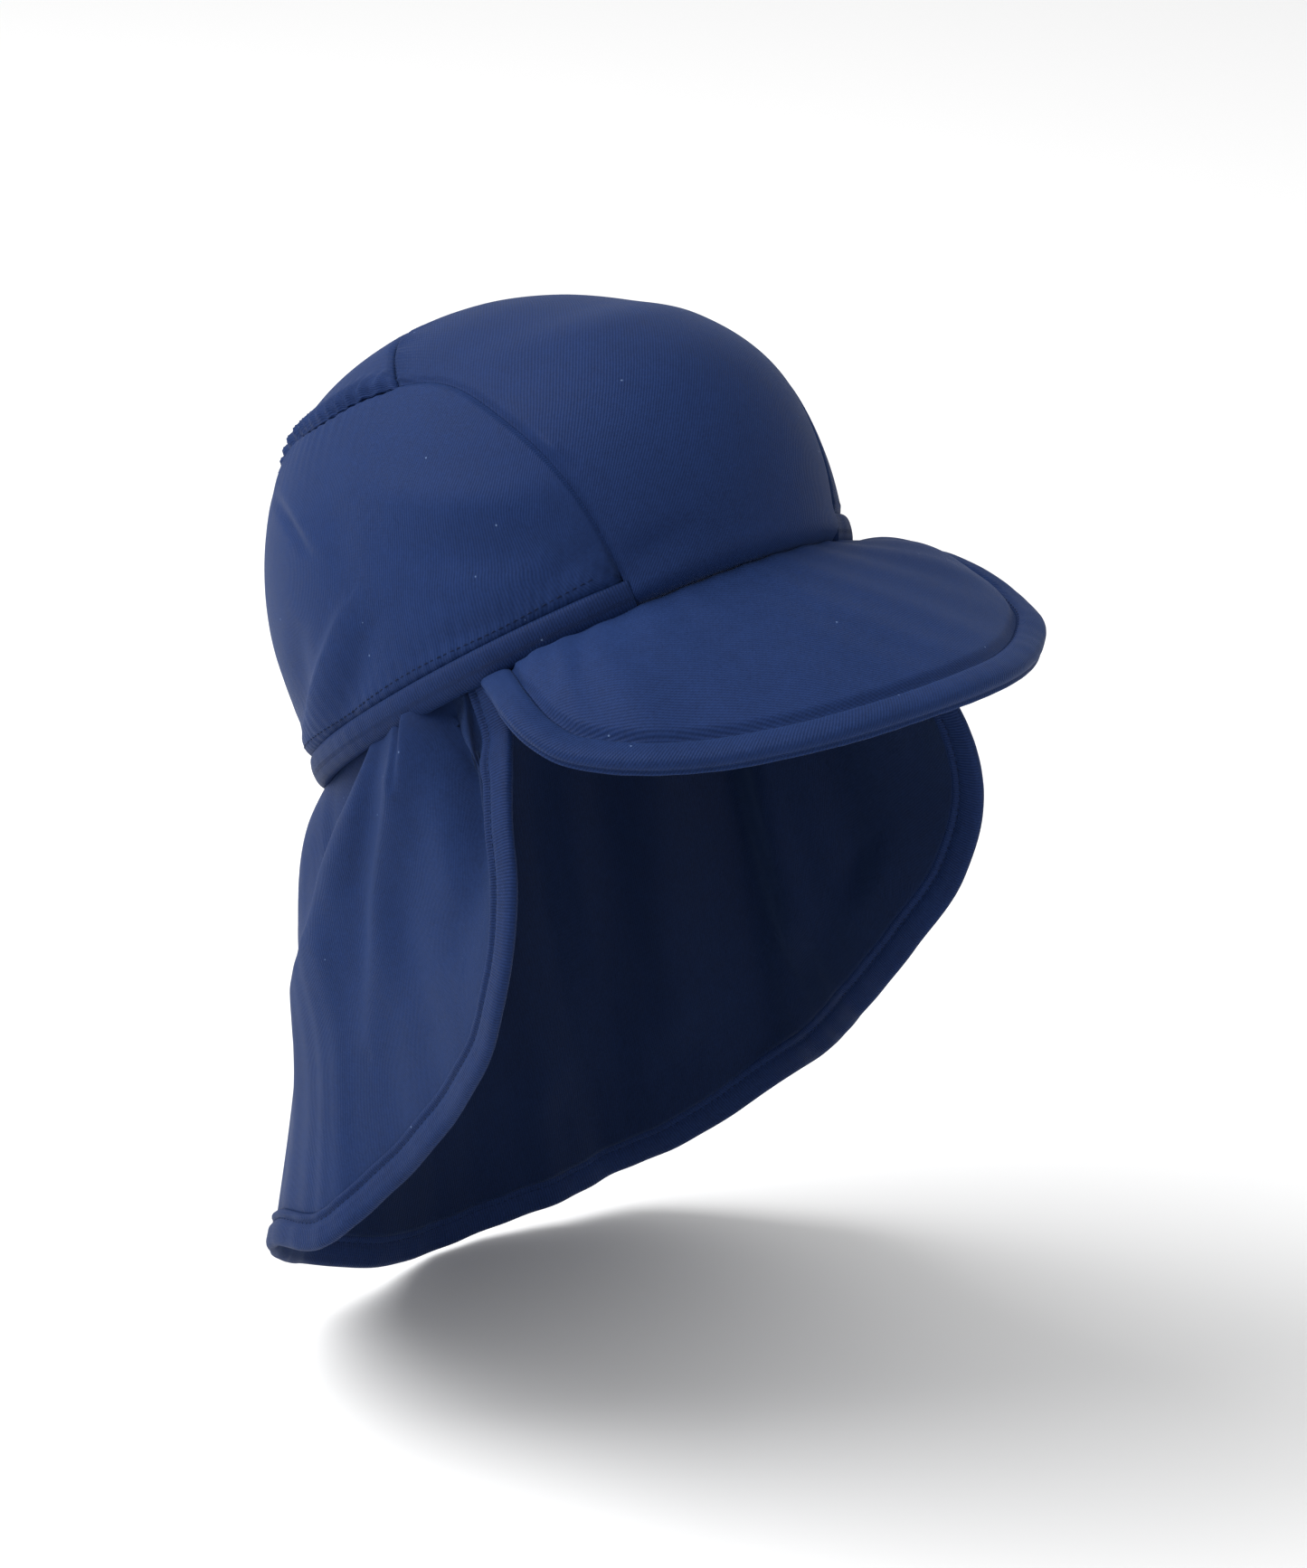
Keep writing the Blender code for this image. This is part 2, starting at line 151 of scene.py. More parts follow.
# Folds in the photo, seen on the near side: pixel x, pixel y and height in millimetres along each path,
# then the width in pixels to the left of the path as seen, and to its right
crownFolds = (
    (((388, 672, 0.6), (382, 687, 1.6), (367, 730, 2.4), (355, 770, 2.6), (347, 800, 2.2), (345, 822, 1.4)), 9, 24),
    (((333, 700, -0.6), (335, 735, -1.5), (338, 775, -1.6), (340, 805, -1.0)), 13, 12),
    (((412, 700, -0.5), (398, 745, -1.3), (384, 785, -1.2), (376, 812, -0.6)), 14, 16),
    (((308, 548, -0.3), (325, 580, -1.1), (343, 611, -0.4)), 5, 7),
    (((318, 545, 0.3), (336, 577, 0.9), (354, 606, 0.3)), 7, 14),
    (((366, 545, -0.2), (376, 590, -1.0), (386, 640, -0.4)), 16, 20),
    (((400, 540, 0.4), (440, 552, 1.1), (500, 560, 1.3), (560, 556, 1.1), (612, 540, 0.5)), 26, 30),
    (((430, 606, -0.4), (490, 618, -1.0), (560, 616, -1.0), (615, 600, -0.5)), 26, 26),
    (((585, 655, -0.2), (620, 632, -0.8), (655, 606, -0.6)), 18, 18),
    (((596, 486, 0.2), (612, 499, 0.9), (626, 507, 0.3)), 6, 9),
    (((690, 622, -0.3), (722, 604, -0.9), (762, 578, -0.3)), 14, 14),
    (((470, 720, -0.3), (520, 700, -0.7), (570, 684, -0.3)), 16, 14),
)
flapFolds = (
    (((424, 800, 2.2), (408, 857, 3.2), (394, 903, 3.6), (378, 962, 3.6), (371, 1003, 3.3), (362, 1048, 2.9),
      (344, 1098, 2.4), (321, 1148, 1.7), (306, 1190, 1.0)), 7, 30),
    (((402, 815, -1.6), (385, 870, -2.8), (366, 930, -3.0), (352, 990, -2.2), (343, 1045, -1.0)), 20, 20),
    (((460, 790, 2.6), (447, 862, 3.2), (442, 903, 3.0), (435, 948, 2.8), (428, 1003, 2.4), (421, 1075, 1.7),
      (413, 1150, 0.6)), 12, 20),
    (((450, 792, -1.6), (450, 830, -1.2), (449, 870, -0.3)), 4, 4),
    (((430, 800, -0.8), (422, 850, -1.2), (414, 910, -1.0), (404, 980, -0.5)), 9, 9),
    (((495, 790, -3.4), (506, 860, -6.0), (513, 925, -5.6), (516, 980, -3.4), (511, 1050, -1.2)), 20, 22),
    (((514, 768, 2.0), (516, 806, 2.0), (525, 850, 1.8), (531, 900, 1.5), (540, 950, 0.9), (547, 992, 0.2)), 5, 6),
    (((326, 905, -0.8), (330, 940, -1.8), (334, 980, -1.2)), 24, 24),
    (((300, 1036, 0.8), (345, 1034, 1.2), (368, 1060, 0.4)), 22, 22),
)

crown = {
    "height": 0.0942,
    "cloth": 0.0013,
    "crossSeam": math.radians(86.0),
    "crossBow": math.radians(17.5),
    "seamDip": 0.0011,
    "seamWidth": 0.0013,
    "gather": 0.00032,
    "gatherPitch": 0.00115,
    "gatherReach": 0.0075,
    "puff": 0.0011,
}
# Crown wall as a share of a plain ellipsoid: elevation in degrees, front, side, back
crownShares = (
    (0, 1.000, 1.000, 0.900),
    (12, 1.130, 1.027, 0.908),
    (25, 1.195, 1.066, 0.960),
    (38, 1.152, 1.078, 1.008),
    (50, 1.070, 1.076, 1.032),
    (63, 1.030, 1.048, 1.035),
    (76, 1.013, 1.019, 1.019),
    (90, 1.000, 1.000, 1.000),
)
# Side seam: degrees over the crown from the front edge, degrees out from the middle
sideSeam = (
    (0, 30.3),
    (14, 30.8),
    (36, 32.2),
    (60, 32.0),
    (72, 35.0),
    (90, 37.6),
    (106, 33.5),
    (130, 26.0),
    (155, 20.0),
    (180, 17.0),
)
# Folds out of the photo's sight: angle and elevation in degrees and height in millimetres, then two widths
hiddenCrownFolds = (
    (((-78, 24, 0.8), (-88, 16, 1.6), (-98, 12, 1.8), (-126, 8, 0.8)), 4.0, 3.0),
    (((-112, 44, -0.5), (-92, 30, -0.9)), 3.5, 3.5),
    (((140, 6, 1.2), (136, 14, 1.0), (133, 24, 0.4)), 4.0, 4.0),
    (((160, 6, 1.2), (158, 14, 1.0), (156, 22, 0.4)), 4.0, 4.0),
    (((-142, 6, 1.2), (-138, 14, 1.0), (-134, 23, 0.4)), 4.0, 4.0),
    (((-161, 6, 1.2), (-160, 14, 1.0), (-158, 21, 0.4)), 4.0, 4.0),
    (((-50, 14, -0.5), (-66, 20, -0.9), (-80, 30, -0.4)), 6.0, 6.0),
)


def direction(angle, elevation):  # angle from the front in radians, positive to the wearer's right
    level = np.cos(elevation)
    return np.stack((-level * np.sin(angle), level * np.cos(angle), np.sin(elevation)), -1)


def overCrown(along, out):  # radians over the crown from the front edge, and out to the wearer's right
    level = np.cos(out)
    return np.stack((-np.sin(out), level * np.cos(along), level * np.sin(along)), -1)


def crownPoint(directions, lift=0.0, folded=True):  # point on the crown's wall, lifted square to it
    d = unit(directions)
    size = np.array((opening["halfWidth"], opening["halfLength"], crown["height"]))
    elevation = np.degrees(np.arcsin(np.clip(d[..., 2], -1, 1)))
    angle = np.degrees(np.arctan2(-d[..., 0], d[..., 1]))
    front, side, back = (smoothTable(crownShares, column, elevation) for column in (1, 2, 3))
    facing = np.cos(np.radians(angle))
    share = side + (np.where(facing > 0, front, back) - side) * facing ** 2
    local = d * size * share[..., None]
    normal = unit(d / size)
    place = toWorld(local[..., 0], local[..., 1], local[..., 2])
    outward = toWorld(normal[..., 0], normal[..., 1], normal[..., 2])
    if folded:
        toEye = unit(viewAxes()[2] * viewpoint["distance"] - place)
        seen = ease(((outward * toEye).sum(-1) + 0.05) / 0.25)
        relief = seen * pathRelief(toPixel(place), crownFolds)
        relief += pathRelief(np.stack((angle, elevation), -1), hiddenCrownFolds)
        lift = lift + relief
    return place + outward * np.asarray(lift)[..., None]


def wallLine(angle, drop):  # line round the opening, lowered square to its plane
    return crownPoint(direction(angle, np.zeros_like(angle)), folded=False) - drop * upAxis


def elevationAt(angle, height):
    elevation = np.full_like(angle, height / crown["height"])
    for _ in range(4):
        reached = crownPoint(direction(angle, elevation), folded=False) @ upAxis
        elevation = elevation + (height - reached) / crown["height"]
    return elevation


def seamOut(along):
    return np.radians(smoothTable(sideSeam, 1, np.degrees(along)))


def crossAlong(out):
    return crown["crossSeam"] - crown["crossBow"] * (out / math.radians(sideSeam[3][1])) ** 2


def seamFoot(height, start, end):  # where the side seam comes down to a height over the opening
    for _ in range(40):
        middle = np.array((start + end) / 2)
        point = crownPoint(overCrown(middle, seamOut(middle)), folded=False)
        if (point @ upAxis - height) * math.cos(middle) > 0:
            end = float(middle)
        else:
            start = float(middle)
    return (start + end) / 2


def node(tree, kind, **values):
    made = tree.nodes.new(kind)
    for key, value in values.items():
        setattr(made, key, value)
    return made


def feed(tree, source, socket):
    if isinstance(source, bpy.types.NodeSocket):
        tree.links.new(source, socket)
    else:
        socket.default_value = source


def calc(tree, operation, first, second=0.0):
    made = node(tree, "ShaderNodeMath", operation=operation)
    feed(tree, first, made.inputs[0])
    feed(tree, second, made.inputs[1])
    return made.outputs[0]


def blendColour(tree, share, first, second, mode="MIX"):
    made = node(tree, "ShaderNodeMix", data_type="RGBA", blend_type=mode)
    feed(tree, share, made.inputs["Factor"])
    feed(tree, first, made.inputs[6])
    feed(tree, second, made.inputs[7])
    return made.outputs[2]


def noise(tree, place, scale, detail=2.0):
    made = node(tree, "ShaderNodeTexNoise")
    feed(tree, place, made.inputs["Vector"])
    made.inputs["Scale"].default_value = scale
    made.inputs["Detail"].default_value = detail
    return made.outputs["Fac"]


def makeTricotGroup():  # fine knitted ribs, soft shade and a few specks of lint, in metres of cloth
    group = bpy.data.node_groups.new("swimTricot", "ShaderNodeTree")
    for name, kind in (
        ("Colour", "NodeSocketColor"),
        ("Rib Turn", "NodeSocketFloat"),
        ("Rib Pitch", "NodeSocketFloat"),
        ("Rib Shade", "NodeSocketFloat"),
        ("Lint", "NodeSocketFloat"),
    ):
        group.interface.new_socket(name=name, in_out="INPUT", socket_type=kind)
    for name, kind in (
        ("Colour", "NodeSocketColor"),
        ("Roughness", "NodeSocketFloat"),
        ("Height", "NodeSocketFloat"),
    ):
        group.interface.new_socket(name=name, in_out="OUTPUT", socket_type=kind)
    given = node(group, "NodeGroupInput").outputs
    result = node(group, "NodeGroupOutput").inputs
    cloth = node(group, "ShaderNodeUVMap", uv_map="cloth").outputs["UV"]
    space = node(group, "ShaderNodeTexCoord").outputs["Object"]

    turned = node(group, "ShaderNodeVectorRotate", rotation_type="Z_AXIS")
    feed(group, cloth, turned.inputs["Vector"])
    feed(group, given["Rib Turn"], turned.inputs["Angle"])
    parts = node(group, "ShaderNodeSeparateXYZ")
    feed(group, turned.outputs[0], parts.inputs[0])
    wander = calc(group, "MULTIPLY", calc(group, "SUBTRACT", noise(group, space, 38.0), 0.5), 0.0016)
    across = calc(group, "DIVIDE", calc(group, "ADD", parts.outputs[0], wander), given["Rib Pitch"])
    rib = calc(group, "SINE", calc(group, "MULTIPLY", across, 2 * math.pi))
    rib = calc(group, "MULTIPLY_ADD", rib, 0.5)
    rib.node.inputs[2].default_value = 0.5
    down = calc(group, "DIVIDE", parts.outputs[1], given["Rib Pitch"])
    loop = calc(group, "SINE", calc(group, "MULTIPLY", calc(group, "ADD", down, across), 2 * math.pi * 0.9))
    loop = calc(group, "MULTIPLY_ADD", loop, 0.5)
    loop.node.inputs[2].default_value = 0.5

    grain = noise(group, space, 1500.0, 3.0)
    patch = noise(group, space, 26.0, 3.0)
    fine = noise(group, space, 260.0, 2.0)
    shade = calc(group, "MULTIPLY", calc(group, "SUBTRACT", 1.0, rib), given["Rib Shade"])
    level = calc(group, "SUBTRACT", 1.0, shade)
    level = calc(group, "ADD", level, calc(group, "MULTIPLY", calc(group, "SUBTRACT", grain, 0.5), 0.55))
    level = calc(group, "ADD", level, calc(group, "MULTIPLY", calc(group, "SUBTRACT", patch, 0.5), 0.30))
    level = calc(group, "ADD", level, calc(group, "MULTIPLY", calc(group, "SUBTRACT", fine, 0.5), 0.22))
    grey = node(group, "ShaderNodeCombineXYZ")
    for i in range(3):
        feed(group, level, grey.inputs[i])
    colour = blendColour(group, 1.0, given["Colour"], grey.outputs[0], "MULTIPLY")

    specks = node(group, "ShaderNodeTexVoronoi", feature="F1")
    feed(group, space, specks.inputs["Vector"])
    specks.inputs["Scale"].default_value = 210.0
    near = calc(group, "LESS_THAN", specks.outputs["Distance"], 0.055)
    pick = node(group, "ShaderNodeSeparateColor")
    feed(group, specks.outputs["Color"], pick.inputs[0])
    few = calc(group, "LESS_THAN", pick.outputs[0], given["Lint"])
    colour = blendColour(group, calc(group, "MULTIPLY", calc(group, "MULTIPLY", near, few), 0.55), colour,
                         (0.16, 0.24, 0.42, 1.0))
    feed(group, colour, result["Colour"])
    rough = calc(group, "MULTIPLY_ADD", fine, 0.12)
    rough.node.inputs[2].default_value = 0.52
    feed(group, rough, result["Roughness"])
    height = calc(group, "ADD", calc(group, "MULTIPLY", rib, 0.65), calc(group, "MULTIPLY", loop, 0.2))
    height = calc(group, "ADD", height, calc(group, "MULTIPLY", grain, 0.15))
    feed(group, height, result["Height"])
    return group


tricot = makeTricotGroup()
# Each cloth: colour, how far its ribs turn in degrees, rib pitch and relief in metres, shade between ribs, lint
cloths = {
    "frontCloth": {"colour": (0.0106, 0.0267, 0.0983), "turn": 38, "pitch": 0.00066, "relief": 0.00010, "shade": 0.24, "lint": 0.10},
    "sideCloth": {"colour": (0.0108, 0.0276, 0.1012), "turn": 14, "pitch": 0.00066, "relief": 0.00010, "shade": 0.22, "lint": 0.10},
    "casingCloth": {"colour": (0.0090, 0.0231, 0.0858), "turn": 6, "pitch": 0.00078, "relief": 0.00014, "shade": 0.32, "lint": 0.05},
    "peakCloth": {"colour": (0.0114, 0.0285, 0.1035), "turn": -42, "pitch": 0.00070, "relief": 0.00010, "shade": 0.22, "lint": 0.12},
    "rimCloth": {"colour": (0.0111, 0.0280, 0.1012), "turn": 30, "pitch": 0.00072, "relief": 0.00011, "shade": 0.26, "lint": 0.08},
    "flapCloth": {"colour": (0.0108, 0.0267, 0.0961), "turn": -24, "pitch": 0.00066, "relief": 0.00010, "shade": 0.22, "lint": 0.10},
    "hemCloth": {"colour": (0.0103, 0.0255, 0.0932), "turn": 3, "pitch": 0.00074, "relief": 0.00014, "shade": 0.30, "lint": 0.08},
    # inside faces: darker partly for the cloth's matte reverse, partly painted shade of the hat's dim inside
    "reverseClothPaintedShade": {"colour": (0.0055, 0.0145, 0.0517), "turn": 10, "pitch": 0.00066, "relief": 0.00008, "shade": 0.15, "lint": 0.03},
    "stitchThread": {"colour": (0.0045, 0.0115, 0.0414), "turn": 0, "pitch": 0.00040, "relief": 0.00004, "shade": 0.20, "lint": 0.0},
}


def makeCloth(name):
    values = cloths[name]
    material = bpy.data.materials.new(name)
    material.use_nodes = True
    tree = material.node_tree
    shader = tree.nodes["Principled BSDF"]
    knit = node(tree, "ShaderNodeGroup", node_tree=tricot)
    knit.inputs["Colour"].default_value = (*values["colour"], 1.0)
    knit.inputs["Rib Turn"].default_value = math.radians(values["turn"])
    knit.inputs["Rib Pitch"].default_value = values["pitch"]
    knit.inputs["Rib Shade"].default_value = values["shade"]
    knit.inputs["Lint"].default_value = values["lint"]
    bump = node(tree, "ShaderNodeBump")
    bump.inputs["Distance"].default_value = values["relief"]
    feed(tree, knit.outputs["Height"], bump.inputs["Height"])
    feed(tree, knit.outputs["Colour"], shader.inputs["Base Color"])
    feed(tree, knit.outputs["Roughness"], shader.inputs["Roughness"])
    feed(tree, bump.outputs[0], shader.inputs["Normal"])
    shader.inputs["Specular IOR Level"].default_value = 0.07
    shader.inputs["Sheen Weight"].default_value = 0.10 if name in ("reverseClothPaintedShade", "stitchThread") else 0.06
    shader.inputs["Sheen Roughness"].default_value = 0.45
    shader.inputs["Sheen Tint"].default_value = (0.30, 0.50, 1.0, 1.0)
    return material


finish = {name: makeCloth(name) for name in cloths}
print("cloths ready")


def makePiece(name, points, faces, cloth, materials):  # a mesh with its cloth map, attached to the root body
    mesh = bpy.data.meshes.new(name)
    mesh.from_pydata(points.tolist(), [], faces.tolist())
    layer = mesh.uv_layers.new(name="cloth")
    corners = np.empty(len(mesh.loops), int)
    mesh.loops.foreach_get("vertex_index", corners)
    layer.uv.foreach_set("vector", cloth[corners].astype(np.float32).ravel())
    for material in materials:
        mesh.materials.append(finish[material])
    mesh.polygons.foreach_set("use_smooth", np.ones(len(mesh.polygons), bool))
    piece = bpy.data.objects.new(name, mesh)
    bpy.context.scene.collection.objects.link(piece)
    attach(piece, "root")
    return piece


def gridFaces(rows, columns, loop=False):
    r, c = np.meshgrid(np.arange(rows - 1), np.arange(columns if loop else columns - 1), indexing="ij")
    after = (c + 1) % columns
    quads = np.stack((r * columns + c, r * columns + after, (r + 1) * columns + after, (r + 1) * columns + c), -1)
    return quads.reshape(-1, 4)


def clothSpread(grid):  # metres of cloth across and down a grid
    across = np.cumsum(np.linalg.norm(np.diff(grid, axis=1, prepend=grid[:, :1]), axis=-1), axis=1)
    across = across - across[:, [across.shape[1] // 2]]
    down = np.cumsum(np.linalg.norm(np.diff(grid, axis=0, prepend=grid[:1]), axis=-1), axis=0)
    return np.stack((across, down), -1)


def addSheet(name, grid, thickness, part, material, reverse="reverseClothPaintedShade"):  # grid is the outer face
    rows, columns = grid.shape[:2]
    piece = makePiece(name, grid.reshape(-1, 3), gridFaces(rows, columns), clothSpread(grid).reshape(-1, 2),
                      (material, reverse, material))
    shell = piece.modifiers.new("Thickness", "SOLIDIFY")
    shell.thickness = thickness
    shell.offset = -1.0
    # the inner face takes the darker reverse cloth, whose colour holds painted shade
    shell.material_offset = 1
    shell.material_offset_rim = 2
    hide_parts(part)
    return piece


def sweptTube(rings):  # closed rings along a run, capped at both ends
    count, around = rings.shape[:2]
    faces = gridFaces(count, around, loop=True)
    caps = np.array([(i, i + 1, around - 2 - i, around - 1 - i) for i in range(around // 2 - 1)])
    faces = np.vstack((faces, caps[:, ::-1], caps + (count - 1) * around))
    along = np.cumsum(np.linalg.norm(np.diff(rings.mean(1), axis=0, prepend=rings[:1].mean(1)), axis=-1))
    girth = np.cumsum(np.linalg.norm(np.diff(rings, axis=1, prepend=rings[:, :1]), axis=-1), axis=1)
    cloth = np.stack((along[:, None].repeat(around, 1), girth), -1)
    return rings.reshape(-1, 3), faces, cloth.reshape(-1, 2)


def roundProfile(points, count):  # smooth closed section through a few points, in metres
    points = np.asarray(points, float) * 0.001
    padded = np.vstack((points[-3:], points, points[:4]))
    line, shares = smoothLine(padded, 40 * len(padded))
    steps = np.linspace(0, 1, len(line))
    inside = (steps >= shares[3]) & (steps <= shares[3 + len(points)])
    line = line[inside]
    length = np.concatenate(((0,), np.cumsum(np.linalg.norm(np.diff(line, axis=0), axis=1))))
    even = np.linspace(0, length[-1], count + 1)[:-1]
    return np.stack([np.interp(even, length, line[:, i]) for i in (0, 1)], -1)


def addStitches(name, paths, values):  # short threads along paths of places and outward directions
    rings, faces, count = [], [], 0
    turn = np.linspace(0, 2 * math.pi, 7)[:-1]
    shares = np.array((-1.0, -0.72, 0.0, 0.72, 1.0))
    girths = np.array((0.25, 0.8, 1.0, 0.8, 0.25))
    for path, outward in paths:
        length = np.concatenate(((0,), np.cumsum(np.linalg.norm(np.diff(path, axis=0), axis=1))))
        for at in np.arange(values["pitch"] / 2, length[-1], values["pitch"]):
            span = np.array((at - values["length"] / 2, at, at + values["length"] / 2))
            start, middle, end = np.stack([np.interp(span, length, path[:, i]) for i in range(3)], -1)
            up = unit(np.array([np.interp(at, length, outward[:, i]) for i in range(3)]))
            run = unit(end - start)
            beside = unit(np.cross(run, up))
            for share, girth in zip(shares, girths):
                sink = values["sink"] * (share ** 2 - 0.4)
                centre = middle + (end - start) / 2 * share - up * sink
                ring = np.cos(turn)[:, None] * beside + np.sin(turn)[:, None] * up
                rings.append(centre + ring * values["radius"] * girth)
            faces.append(gridFaces(5, 6, loop=True) + count)
            count += 30
    points = np.vstack(rings)
    cloth = points[:, :2].copy()
    return makePiece(name, points, np.vstack(faces), cloth, ("stitchThread",))


def sheetLift(distance, values):  # how a panel's edge dips into its seam
    return -values["seamDip"] * hump(distance, values["seamWidth"])


def addFrontPanel():
    columns, rows = 300, 110
    share = np.linspace(1, -1, columns)[None, :].repeat(rows, 0)
    down = (np.linspace(0, 1, rows) ** 1.35)[:, None].repeat(columns, 1)
    along = np.full(share.shape, crown["crossSeam"])
    low = np.full(share.shape, 0.1)
    for _ in range(10):
        out = share * seamOut(along)
        reached = crownPoint(overCrown(low, out), folded=False) @ upAxis
        low = low - reached / crown["height"]
        along = low * down + crossAlong(out) * (1 - down)
    fromSeam = (1 - np.abs(share)) * seamOut(along) * opening["halfWidth"] * 1.05
    fromCross = (crossAlong(out) - along) * crown["height"]
    fromBrow = (along - low) * 0.088
    lift = crown["cloth"] + sheetLift(fromSeam, crown) + sheetLift(fromCross, crown)
    run = out * opening["halfWidth"]
    lift += crown["gather"] * waves(run, crown["gatherPitch"], 1.3) * np.exp(-fromCross / crown["gatherReach"])
    lift += 0.0011 * hump(fromBrow - 0.0042, 0.0030) - 0.0024 * hump(fromBrow, 0.0016)
    grid = crownPoint(overCrown(along, out), lift)[::-1]
    return addSheet("frontPanel", grid, 0.0010, "front_panel", "frontCloth")


def addBackPanel():
    columns, rows = 200, 150
    share = np.linspace(1, -1, columns)[None, :].repeat(rows, 0)
    down = np.linspace(0, 1, rows)[:, None].repeat(columns, 1)
    along = np.full(share.shape, crown["crossSeam"])
    low = np.full(share.shape, math.pi - 0.1)
    for _ in range(12):
        out = share * seamOut(along)
        reached = crownPoint(overCrown(low, out), folded=False) @ upAxis - 0.0070
        low = low + reached / crown["height"]
        along = low * down + crossAlong(out) * (1 - down)
    fromSeam = (1 - np.abs(share)) * seamOut(along) * opening["halfWidth"]
    fromCross = (along - crossAlong(out)) * crown["height"]
    fromFoot = (low - along) * 0.085
    edge = hump(fromSeam - 0.0028, 0.0034)
    lumps = waves(along * crown["height"] + share * 0.004, 0.0058, 2.2)
    lift = crown["cloth"] + 1.6 * sheetLift(fromSeam, crown) + sheetLift(fromCross, crown)
    lift += crown["puff"] * edge * (1 + 0.75 * lumps) * ease(fromCross / 0.006)
    lift += 0.0004 * waves(out * opening["halfWidth"], 0.0062, 0.7) * np.exp(-fromFoot / 0.020)
    lift += crown["gather"] * 0.8 * waves(out * opening["halfWidth"], 0.0016, 4.1) * np.exp(-fromCross / 0.004)
    lift -= 0.0010 * hump(fromFoot, 0.0016)
    grid = crownPoint(overCrown(along, out), lift)
    return addSheet("backPanel", grid, 0.0010, "back_panel", "sideCloth")


def addSidePanel(name, part, hand):
    columns, rows = 260, 150
    base = 0.0070
    front, back = seamFoot(base, 0.0, math.pi / 4), seamFoot(base, math.pi * 0.75, math.pi)
    share = np.linspace(0, 1, columns)
    along = front + (back - front) * share
    top = overCrown(along, seamOut(along))
    ends = np.arctan2(-top[[0, -1], 0], top[[0, -1], 1])
    angle = ends[0] + (ends[1] - ends[0]) * share
    low = direction(angle, elevationAt(angle, base))
    low[0], low[-1] = top[0], top[-1]
    down = np.linspace(0, 1, rows)[:, None, None]
    directions = unit(top * (1 - down) + low * down)
    directions[..., 0] *= hand
    plain = crownPoint(directions, folded=False)
    fromTop = np.cumsum(np.linalg.norm(np.diff(plain, axis=0, prepend=plain[:1]), axis=-1), axis=0)
    fromFoot = fromTop[-1] - fromTop
    run = np.cumsum(np.linalg.norm(np.diff(plain[:1], axis=1, prepend=plain[:1, :1]), axis=-1), axis=1)
    rear = ease((along - crossAlong(seamOut(along))) * crown["height"] / 0.006)[None, :]
    lift = crown["cloth"] + sheetLift(fromTop, crown) * (1 + 0.9 * rear)
    lift += rear * 0.00030 * waves(run, 0.0036, 1.9) * np.exp(-fromTop / 0.0070)
    lift -= 0.0012 * hump(fromFoot, 0.0017)
    lift += 0.00022 * waves(run * 1.1, 0.0052, 0.4) * np.exp(-fromFoot / 0.0070)
    grid = crownPoint(directions, lift)
    return addSheet(name, grid if hand > 0 else grid[:, ::-1], 0.0010, part, "sideCloth")


frontPanel = addFrontPanel()
backPanel = addBackPanel()
sideRight = addSidePanel("sidePanelRight", "side_panel_right", 1)
sideLeft = addSidePanel("sidePanelLeft", "side_panel_left", -1)
print("crown sewn")

casing = {
    "height": 0.0080,
    "middle": 0.0040,
    "halfHeight": 0.00415,
    "halfThickness": 0.00215,
    "out": 0.0009,
    "columns": 420,
    "around": 28,
}


def addCasing():
    foot = seamFoot(casing["middle"], 0.0, math.pi / 4)
    seam = overCrown(np.array(foot), seamOut(np.array(foot)))
    end = math.atan2(-seam[0], seam[1]) - 0.012
    angle = np.linspace(end, 2 * math.pi - end, casing["columns"])
    turn = np.where(angle > math.pi, angle - 2 * math.pi, angle)
    low = wallLine(turn, 0.0)
    high = crownPoint(direction(turn, elevationAt(turn, casing["height"])), folded=False)
    middle = (low + high) / 2
    up = unit(high - low)
    run = unit(np.gradient(middle, axis=0))
    out = unit(np.cross(up, run))
    out = out * np.sign((out * unit(middle - middle.mean(0))).sum(-1, keepdims=True))
    around = np.linspace(0, 2 * math.pi, casing["around"], endpoint=False)
    length = np.cumsum(np.linalg.norm(np.diff(middle, axis=0, prepend=middle[:1]), axis=-1))
    thin = 0.55 + 0.45 * ease(np.minimum(length, length[-1] - length) / 0.012)
    plump = 1 + 0.05 * waves(length, 0.021, 1.1) + 0.03 * waves(length, 0.0062, 2.7)
    c, s = np.cos(around), np.sin(around)
    outShare = np.sign(c) * np.abs(c) ** 0.85
    upShare = np.sign(s) * np.abs(s) ** 0.85
    thick = casing["halfThickness"] * thin * plump
    ring = middle[:, None] + out[:, None] * (casing["out"] * thin[:, None] + thick[:, None] * outShare)[..., None]
    ring = ring + up[:, None] * (casing["halfHeight"] * (0.86 + 0.14 * thin)[:, None] * upShare)[..., None]
    points, faces, cloth = sweptTube(ring)
    piece = makePiece("bandCasing", points, faces, cloth, ("casingCloth",))
    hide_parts("band_casing")
    stitchLift = casing["height"] + 0.0021 + 0.0005 * waves(length, 0.06, 0.5)
    line = direction(turn, elevationAt(turn, stitchLift))
    place = crownPoint(line, crown["cloth"] - 0.00005)
    return piece, place[8:-8], unit(place - middle)[8:-8]


bandCasing, stitchPlace, stitchOut = addCasing()
seamStitch = {"pitch": 0.0021, "length": 0.0014, "radius": 0.00022, "sink": 0.00022}
casingStitches = addStitches("casingStitches", [(stitchPlace, stitchOut)], seamStitch)
print("casing made")

peak = {
    "endAngle": math.radians(63.5),
    "halfWidth": 0.0791,
    "reach": 0.128,
    "rise": 0.024,
    "thickness": 0.0040,
    "bulge": 0.0016,
    "shoulder": 0.0030,
    "aim": 0.6,
    "rimWidth": 0.0080,
    "rimDrop": 0.0010,
    "columns": 340,
    "rows": 70,
}
# Peak's outer edge from its end to its tip: shares of the half width, the reach and the rise
peakEdge = (
    (0.868, 0.345, 0.950),
    (0.955, 0.430, 1.000),
    (0.992, 0.535, 0.870),
    (0.980, 0.600, 0.785),
    (0.930, 0.675, 0.755),
    (0.855, 0.748, 0.760),
    (0.700, 0.836, 0.785),
    (0.540, 0.907, 0.860),
    (0.350, 0.965, 0.940),
    (0.170, 0.992, 0.985),
    (0.000, 1.000, 1.000),
)
